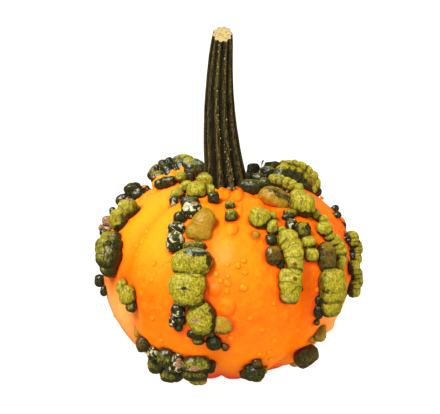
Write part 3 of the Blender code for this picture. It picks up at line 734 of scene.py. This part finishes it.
class Paint:
    """Builds one material's nodes with short calls."""

    def __init__(self, name):
        self.material = bpy.data.materials.new(name)
        self.material.use_nodes = True
        self.tree = self.material.node_tree
        self.shader = self.tree.nodes["Principled BSDF"]
        self.coords = self.tree.nodes.new("ShaderNodeTexCoord").outputs["Object"]

    def node(self, kind, **inputs):
        made = self.tree.nodes.new(kind)
        for key, value in inputs.items():
            self.put(made.inputs[key.replace("_", " ")], value)
        return made

    def put(self, socket, value):
        if isinstance(value, bpy.types.NodeSocket):
            self.tree.links.new(value, socket)
        else:
            socket.default_value = linear(*value) if isinstance(value, tuple) and len(value) == 3 else value

    def held(self, name):
        made = self.tree.nodes.new("ShaderNodeAttribute")
        made.attribute_name = name
        return made.outputs["Fac"]

    def noise(self, scale, detail=3.0, rough=0.55, warp=0.0):
        settings = {"Scale": scale, "Detail": detail, "Roughness": rough, "Distortion": warp}
        return self.node("ShaderNodeTexNoise", Vector=self.coords, **settings).outputs["Fac"]

    def stretched_noise(self, upright, scale, detail, rough):
        """Noise whose lumps are drawn out upwards."""
        place = self.node("ShaderNodeMapping", Vector=self.coords)
        place.inputs["Scale"].default_value = (1.0, 1.0, upright)
        settings = {"Scale": scale, "Detail": detail, "Roughness": rough}
        return self.node("ShaderNodeTexNoise", Vector=place.outputs[0], **settings).outputs["Fac"]

    def place(self, axis):
        made = self.node("ShaderNodeSeparateXYZ", Vector=self.coords)
        return made.outputs[axis]

    def times(self, a, b, more=0.0):
        made = self.tree.nodes.new("ShaderNodeMath")
        made.operation = "MULTIPLY_ADD"
        for socket, value in zip(made.inputs, (a, b, more)):
            self.put(socket, value)
        return made.outputs[0]

    def plus(self, a, b):
        return self.times(a, 1.0, b)

    def span(self, value, low, high, out_low=0.0, out_high=1.0):
        made = self.tree.nodes.new("ShaderNodeMapRange")
        made.interpolation_type = "SMOOTHSTEP"
        self.put(made.inputs[0], value)
        for n, number in enumerate((low, high, out_low, out_high), 1):
            made.inputs[n].default_value = number
        return made.outputs[0]

    def mix(self, share, a, b):
        made = self.tree.nodes.new("ShaderNodeMix")
        made.data_type = "RGBA"
        made.clamp_factor = True
        self.put(made.inputs[0], share)
        self.put(made.inputs[6], a)
        self.put(made.inputs[7], b)
        return made.outputs[2]

    def finish(self, colour, roughness, bump=None, strength=0.3, distance=0.001, **more):
        self.put(self.shader.inputs["Base Color"], colour)
        self.put(self.shader.inputs["Roughness"], roughness)
        for key, value in more.items():
            self.put(self.shader.inputs[key.replace("_", " ")], value)
        if bump is not None:
            made = self.node("ShaderNodeBump", Strength=strength, Distance=distance, Height=bump)
            self.tree.links.new(made.outputs[0], self.shader.inputs["Normal"])
        return self.material


def wart_paint():
    p = Paint("warts")
    streak = p.stretched_noise(0.5, 620.0, 3.0, 0.6)
    broad = p.noise(190, 4.0, 0.62)
    grain = p.noise(900, 3.0, 0.6)
    fleck = p.held("fleck")
    tone = p.plus(p.held("tone"), p.times(broad, 0.4, -0.20))
    wild = p.times(fleck, 0.55, 0.30)
    tone = p.plus(tone, p.times(p.plus(streak, -0.51), wild))
    lime = p.mix(p.span(streak, 0.36, 0.62), (152, 141, 26), (122, 109, 9))
    lime = p.mix(p.times(p.span(grain, 0.56, 0.70), fleck), lime, (66, 64, 5))
    lime = p.mix(p.times(p.span(grain, 0.44, 0.32), fleck), lime, (186, 182, 74))
    # Light lime where tone is low: the own colour of pale warts and painted highlight on wart tops
    lime = p.mix(p.span(tone, 0.16, -0.34, 0.0, 0.8), lime, (198, 188, 74))
    dark = p.mix(p.span(grain, 0.35, 0.70), (15, 13, 2), (66, 68, 16))
    dark = p.mix(p.span(broad, 0.50, 0.72, 0.0, 0.5), dark, (70, 44, 8))
    # Lime to dark by tone: the warts' own dark colours, and painted shade on undersides, flanks, dark sides
    # and lobe gaps
    green = p.mix(p.span(tone, 0.28, 0.85), lime, dark)
    olive = p.mix(p.span(grain, 0.38, 0.66), (140, 108, 12), (158, 130, 30))
    olive = p.mix(p.span(broad, 0.45, 0.70, 0.0, 0.35), olive, (178, 96, 6))
    colour = p.mix(p.times(p.held("olive"), p.span(tone, 1.10, 0.60)), green, olive)
    colour = p.mix(p.times(p.held("brown"), 0.85), colour, (64, 32, 8))
    orange = p.plus(p.held("orange"), p.times(broad, 1.6, -0.8))
    colour = p.mix(p.span(orange, 0.20, 1.05, 0.0, 0.9), colour, (176, 62, 3))
    flakes = p.times(p.span(p.noise(240, 1.5, 0.4, 0.5), 0.53, 0.58), p.held("crackle"))
    colour = p.mix(p.times(flakes, 0.92), colour, (184, 176, 136))
    cork = p.mix(p.span(grain, 0.35, 0.65), (108, 72, 46), (168, 134, 98))
    corky = p.plus(p.held("cork"), p.times(grain, 0.6, -0.3))
    colour = p.mix(p.span(corky, 0.42, 0.62), colour, cork)
    # Painted sheen: pale grey-green highlights from the pale marks
    colour = p.mix(p.times(p.held("pale"), p.span(grain, 0.30, 0.60)), colour, (150, 164, 140))
    # Painted shade at the roots of warts, where they meet the rind
    colour = p.mix(p.times(p.held("root"), 0.80), colour, (20, 14, 2))
    # Painted shade in the gaps between warts and along the creases
    colour = p.mix(p.times(p.held("seam"), 0.85), colour, (12, 11, 2))
    height = p.plus(p.times(streak, -1.3, 1.3), p.times(grain, -0.7))
    rough = p.span(tone, 0.2, 0.9, 0.48, 0.31)
    sheen = p.span(tone, 0.3, 0.9, 0.26, 0.50)
    return p.finish(colour, rough, height, 0.24, 0.0009, Specular_IOR_Level=sheen)


def rind_paint():
    p = Paint("rind")
    broad = p.noise(26, 3.0, 0.55)
    mottle = p.noise(150, 4.0, 0.6)
    grain = p.noise(600, 3.0, 0.6)
    base = p.mix(p.span(broad, 0.35, 0.65), (233, 104, 1), (237, 116, 2))
    base = p.mix(p.span(mottle, 0.48, 0.70, 0.0, 0.55), base, (244, 134, 8))
    base = p.mix(p.span(grain, 0.52, 0.72, 0.0, 0.45), base, (222, 84, 1))
    base = p.mix(p.span(mottle, 0.46, 0.30, 0.0, 0.45), base, (228, 88, 1))
    across, up = p.place(0), p.place(2)
    # Painted highlight: yellower high on the left, where the light falls strongest
    high = p.span(up, 0.095, 0.165)
    left = p.span(across, 0.05, -0.07, 0.10, 0.75)
    base = p.mix(p.times(high, left), base, (244, 162, 28))
    # Painted bounce light from the white table: paler below the middle
    base = p.mix(p.span(up, 0.090, 0.045, 0.0, 0.6), base, (240, 136, 6))
    # Painted shade: deep red at the bottom, near the table
    base = p.mix(p.span(up, 0.034, 0.010), base, (200, 40, 1))
    # Pimple tops: partly their own yellow, partly painted highlight
    base = p.mix(p.times(p.held("pimple"), 0.5), base, (242, 152, 18))
    # Red round warts and big swellings: partly the rind's own redder colour, partly painted shade
    near = p.times(p.span(p.held("near"), 0.20, 1.0), 0.8)
    base = p.mix(near, base, (214, 48, 1))
    # Painted shade: redder in the grooves between ribs
    base = p.mix(p.times(p.held("groove"), 0.25), base, (226, 84, 1))
    # Painted reflection of the white table, paler low on the sides
    base = p.mix(p.times(p.held("pale"), 0.70), base, (236, 184, 108))
    height = p.plus(p.times(mottle, 0.8), p.times(grain, 0.35))
    rough = p.span(mottle, 0.3, 0.7, 0.40, 0.50)
    return p.finish(base, rough, height, 0.30, 0.0010, Specular_IOR_Level=0.14)


def stem_paint():
    p = Paint("stem")
    fibre = p.stretched_noise(0.07, 900.0, 4.0, 0.65)
    grain = p.noise(900, 3.0, 0.6)
    dark = p.mix(p.span(fibre, 0.35, 0.65), (12, 9, 2), (36, 29, 10))
    ridge = p.mix(p.span(grain, 0.4, 0.65), (64, 52, 16), (126, 108, 50))
    colour = p.mix(p.times(p.held("crest"), p.span(fibre, 0.35, 0.60)), dark, ridge)
    colour = p.mix(p.held("prickle"), colour, (156, 146, 112))
    cut = p.mix(p.span(grain, 0.35, 0.65), (156, 130, 76), (190, 176, 126))
    colour = p.mix(p.held("cut"), colour, cut)
    height = p.plus(fibre, p.times(grain, 0.4))
    return p.finish(colour, 0.62, height, 0.6, 0.0008, Specular_IOR_Level=0.22)


# The stem's height above the equator, its middle to the right and to the back, and its half width
STEM_LINE = np.array([
    (0.07, -0.001, -0.003, 0.0205), (0.0745, -0.0018, -0.003, 0.0194), (0.08, -0.0026, -0.0026, 0.0179),
    (0.088, -0.0034, -0.002, 0.0166), (0.098, -0.0046, -0.0012, 0.0156), (0.111, -0.006, -0.0004, 0.0146),
    (0.126, -0.0072, 0.0004, 0.0135), (0.142, -0.008, 0.001, 0.0124), (0.158, -0.0082, 0.0014, 0.0114),
    (0.174, -0.0078, 0.0016, 0.0105), (0.189, -0.007, 0.0016, 0.0097), (0.2, -0.0062, 0.0014, 0.009),
    (0.208, -0.0056, 0.0012, 0.0081),
])
STEM_SIDES, STEM_ROWS, CUT_RINGS = 240, 200, 14
STEM_RIDGES = 10
STEM_TURN = math.radians(6.0)
CUT_SLOPE = math.tan(math.radians(34.0))
CUT_STARTS = 0.150
PRICKLE_REACH = 1.6
PRICKLES = [
    (217, 45), (217, 52), (217.2, 60), (217.5, 68), (217.5, 75), (217.7, 84), (217.8, 92), (218, 100),
    (219, 108), (219.6, 115), (220, 121), (221, 130), (222, 138), (223, 145), (224, 153), (225.2, 162),
    (226, 170), (228, 120), (227, 165), (230, 172), (229, 160), (231, 178), (228, 181), (233, 170),
    (214, 150), (232, 150), (213, 88), (226, 92), (224.5, 60), (226, 176), (222, 172), (235, 179),
]


def stem_piece():
    """The ridged stalk from the dent up to its slanting rough cut, with its prickles."""
    low, high = STEM_LINE[0, 0], STEM_LINE[-1, 0]
    heights = np.linspace(low, high, STEM_ROWS)
    right, back, half = (np.interp(heights, STEM_LINE[:, 0], STEM_LINE[:, n]) for n in (1, 2, 3))
    kernel = np.ones(9) / 9
    for line in (right, back, half):
        line[4:-4] = np.convolve(line, kernel, "valid")
    slope = CUT_SLOPE * np.clip((heights - CUT_STARTS) / (high - CUT_STARTS), 0, 1) ** 1.6
    angle = 2 * math.pi * np.arange(STEM_SIDES) / STEM_SIDES
    share, angle = np.meshgrid((heights - low) / (high - low), angle, indexing="ij")

    def wrapped(around, upwards, seed, finer=1.0):
        at = np.stack([np.cos(angle) * around, np.sin(angle) * around, share * upwards], -1)
        return ripple(at.reshape(-1, 3) * finer, 1.0, seed).reshape(angle.shape)

    crest = 0.5 + 0.5 * np.cos(STEM_RIDGES * angle + 0.9 * wrapped(2.2, 1.6, 41))
    fibre = wrapped(14, 5, 42) + 0.6 * wrapped(14, 5, 43, 2.1)
    foot = np.exp(-((share / 0.10) ** 2))
    relief = (0.085 + 0.04 * foot) * (2.0 * crest ** 0.75 - 1.0) + 0.016 * fibre
    radius = half[:, None] * (1.0 + relief)
    turned = angle + STEM_TURN * share
    x = right[:, None] + radius * np.cos(turned)
    y = radius * np.sin(turned) * 0.96
    z = EQUATOR_UP + heights[:, None] + y * slope[:, None]
    points = [np.stack([x, y + back[:, None], z], -1).reshape(-1, 3)]
    base_ring, top_ring = points[0][:STEM_SIDES], points[0][-STEM_SIDES:]
    middle = top_ring.mean(axis=0)
    for ring in range(1, CUT_RINGS + 1):
        shrink = 1.0 - ring / (CUT_RINGS + 0.5)
        at = middle + (top_ring - middle) * shrink
        dome = 0.0016 * (1.0 - shrink ** 2) - 0.0017 * math.exp(-((shrink / 0.22) ** 2))
        at[:, 2] += dome + 0.00045 * ripple(at, 0.0022, 61) + 0.0003 * ripple(at, 0.0009, 62)
        points.append(at)
    points = np.concatenate(points + [points[-1].mean(axis=0)[None, :], base_ring.mean(axis=0)[None, :]])
    rows = STEM_ROWS + CUT_RINGS
    k = np.arange(STEM_SIDES)
    n = (k + 1) % STEM_SIDES
    faces = []
    for start in range(0, (rows - 1) * STEM_SIDES, STEM_SIDES):
        above = start + STEM_SIDES
        faces += np.stack([start + k, start + n, above + n, above + k], 1).tolist()
    last = (rows - 1) * STEM_SIDES
    tip, base = rows * STEM_SIDES, rows * STEM_SIDES + 1
    faces += [(int(last + a), int(last + b), tip) for a, b in zip(k, n)]
    faces += [(int(b), int(a), base) for a, b in zip(k, n)]
    cut = np.zeros(len(points))
    cut[STEM_ROWS * STEM_SIDES:base] = 1.0

    # Prickles stand where the photo shows them, on the side that faces the view
    ball, ball_faces = round_grid(4)
    beads = []
    u, v = seen_at(points)
    depth = (points - EYE) @ SIGHT_AHEAD
    for number, (across, down) in enumerate(PRICKLES):
        close = np.nonzero((np.hypot(u - across, v - down) < PRICKLE_REACH) & (cut < 0.5))[0]
        seat = points[close[np.argmin(depth[close])]]
        size = 0.00040 + 0.00014 * math.sin(number * 2.3)
        faces += (ball_faces + len(points) + number * len(ball)).tolist()
        beads.append(seat + ball * np.array([size, size * 1.1, size * 1.5]))
    stalk_count = STEM_ROWS * STEM_SIDES
    prickle = np.concatenate([np.zeros(len(points)), np.ones(len(beads) * len(ball))])
    mesh = bpy.data.meshes.new("stalk")
    mesh.from_pydata(np.concatenate([points] + beads).tolist(), [], faces)
    mesh.update()
    obj = bpy.data.objects.new("stalk", mesh)
    bpy.context.scene.collection.objects.link(obj)
    crests = np.zeros(len(prickle))
    crests[:stalk_count] = crest.ravel() ** 1.5
    hold(mesh, crest=crests, cut=np.concatenate([cut, np.zeros(len(prickle) - len(cut))]), prickle=prickle)
    mesh.shade_smooth()
    return obj


# The dry thread: across, down, how much nearer than its foot, half thickness
THREAD = [
    (257.5, 176, 0.0, 0.0003), (259.5, 170.5, 0.002, 0.00028), (261.6, 165.5, 0.003, 0.00028),
    (262.6, 161.5, 0.003, 0.0009), (263.4, 159.8, 0.003, 0.0004),
]
THREAD_SIDES = 10
THREAD_FORWARD = 0.009


def thread_piece():
    """The thin dry thread that stands behind the stem's foot."""
    behind = float((seat_of(258, 175) - EYE) @ SIGHT_AHEAD)
    points, faces, path = [], [], []
    for number, (across, down, nearer, size) in enumerate(THREAD):
        at = EYE + line_of_sight(across, down) * (behind - THREAD_FORWARD - nearer)
        path.append(at)
        start = number * THREAD_SIDES
        for k in range(THREAD_SIDES):
            turn = 2 * math.pi * k / THREAD_SIDES
            points.append(at + size * (math.cos(turn) * SIGHT_RIGHT + math.sin(turn) * SIGHT_AHEAD))
            if number:
                n = (k + 1) % THREAD_SIDES
                faces.append((start - THREAD_SIDES + k, start - THREAD_SIDES + n, start + n, start + k))
    obj = new_mesh("dry_thread", np.array(points), np.array(faces))
    p = Paint("dry thread")
    grain = p.noise(900, 2.0)
    tip = p.span(p.place(2), path[2][2] + 0.001, path[3][2] - 0.001)
    brown = p.mix(p.span(grain, 0.3, 0.7), (120, 92, 30), (160, 130, 60))
    obj.data.materials.append(p.finish(p.mix(tip, brown, (84, 14, 14)), 0.6))
    return obj


groups = [
    ("warts_left", [BACK_LEFT_SHOULDER, LEFT_FRONT_CHAIN, LEFT_OUTLINE], 100, 0.7),
    ("warts_middle", [MIDDLE_COLUMN, TOP_CENTRE, BOTTOM_LEFT], 300, 0.85),
    ("warts_top_right", [BACK_RIGHT_CHAIN, RIGHT_TOP], 500, 0.4),
    ("warts_front_right", [FRONT_RIGHT_COLUMN, RIGHT_OUTLINE, BOTTOM_RIGHT], 700, 0.3),
]
skin = wart_paint()
all_warts = []
pieces = []
for name, clusters, seed, fleck in groups:
    warts = photo_warts(clusters)
    all_warts += warts
    pieces.append(wart_piece(name, warts, VOXEL, seed, fleck))
behind = hidden_warts()
pieces.append(wart_piece("warts_behind", behind, HIDDEN_VOXEL, 900, 0.5))
for piece in pieces:
    piece.data.materials.append(skin)
rind = rind_piece(all_warts + behind)
rind.data.materials.append(rind_paint())
shoulder = [
    (foot, axes, size * SHOULDER_SHARE, "B", None, APART)
    for foot, axes, size, _, _, joined in photo_warts([SHOULDER_SKIN])
    if joined == MOUND
]
for piece in (pimple_piece(), wart_piece("shoulder", shoulder, VOXEL, 950, 0.0)):
    piece.data.materials.append(rind.data.materials[0])
    pieces.append(piece)
stalk = stem_piece()
stalk.data.materials.append(stem_paint())
thread = thread_piece()

for piece in pieces + [rind]:
    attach(piece, "root")
    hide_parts("fruit")
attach(stalk, "root")
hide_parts("stem")
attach(thread, "root")

# Floor, light and camera. The lamps that shape the fruit leave the table alone, so it stays evenly pale.
TABLE_DROP = 0.0003
TABLE_CORNERS = [(-9.0, -6.0), (9.0, -6.0), (9.0, 14.0), (-9.0, 14.0)]
corners = np.array([(x, y, -TABLE_DROP) for x, y in TABLE_CORNERS])
floor = new_mesh("floor", corners, np.array([(0, 1, 2, 3)]))
pale = Paint("pale table")
white = pale.mix(pale.noise(3.0, 2.0), (0.80, 0.80, 0.80, 1), (0.83, 0.83, 0.83, 1))
floor.data.materials.append(pale.finish(white, 0.95, Specular_IOR_Level=0.0))
floor.visible_diffuse = False
floor.visible_glossy = False

world = bpy.data.worlds.new("studio")
world.use_nodes = True
sky = world.node_tree.nodes["Background"]
sky.inputs[0].default_value = (1, 1, 1, 1)
sky.inputs[1].default_value = 0.26
bpy.context.scene.world = world

of_object = bpy.data.collections.new("lit object")
for piece in pieces + [rind, stalk, thread]:
    of_object.objects.link(piece)
of_floor = bpy.data.collections.new("lit floor")
of_floor.objects.link(floor)


def soft_sun(name, towards, strength, spread, lit=of_object, glossy=False):
    made = bpy.data.lights.new(name, "SUN")
    made.energy = strength
    made.angle = math.radians(spread)
    obj = bpy.data.objects.new(name, made)
    bpy.context.scene.collection.objects.link(obj)
    obj.rotation_euler = Vector(towards).to_track_quat("Z", "Y").to_euler()
    obj.light_linking.receiver_collection = lit
    obj.light_linking.blocker_collection = lit
    obj.visible_glossy = glossy


soft_sun("key", (-0.42, -0.48, 0.77), 4.7, 22.0, glossy=True)
soft_sun("front", (0.05, -0.98, 0.15), 1.1, 60.0)
soft_sun("from the table", (0.0, -0.55, -0.83), 1.8, 90.0)
soft_sun("left", (-0.95, -0.1, 0.1), 0.5, 60.0)
soft_sun("right", (0.95, -0.15, 0.0), 2.0, 60.0)
soft_sun("behind", (0.1, 0.95, 0.3), 2.4, 60.0)
soft_sun("table light", (0.0, -0.2, 1.0), 3.6, 60.0, of_floor)

camera = bpy.data.cameras.new("photo view")
camera.sensor_width = 36.0
camera.lens = camera.sensor_width * (VIEW_DISTANCE / PIXEL) / PHOTO_WIDTH
camera.dof.use_dof = False
eye = bpy.data.objects.new("photo view", camera)
bpy.context.scene.collection.objects.link(eye)
placed = Matrix.Identity(4)
for column, axis in enumerate((SIGHT_RIGHT, SIGHT_UP, -SIGHT_AHEAD, EYE)):
    for row in range(3):
        placed[row][column] = float(axis[row])
eye.matrix_world = placed
bpy.context.scene.camera = eye
view = bpy.context.scene.view_settings
view.view_transform = "Standard"
view.look = "None"
view.exposure = 0.05
view.gamma = 0.88
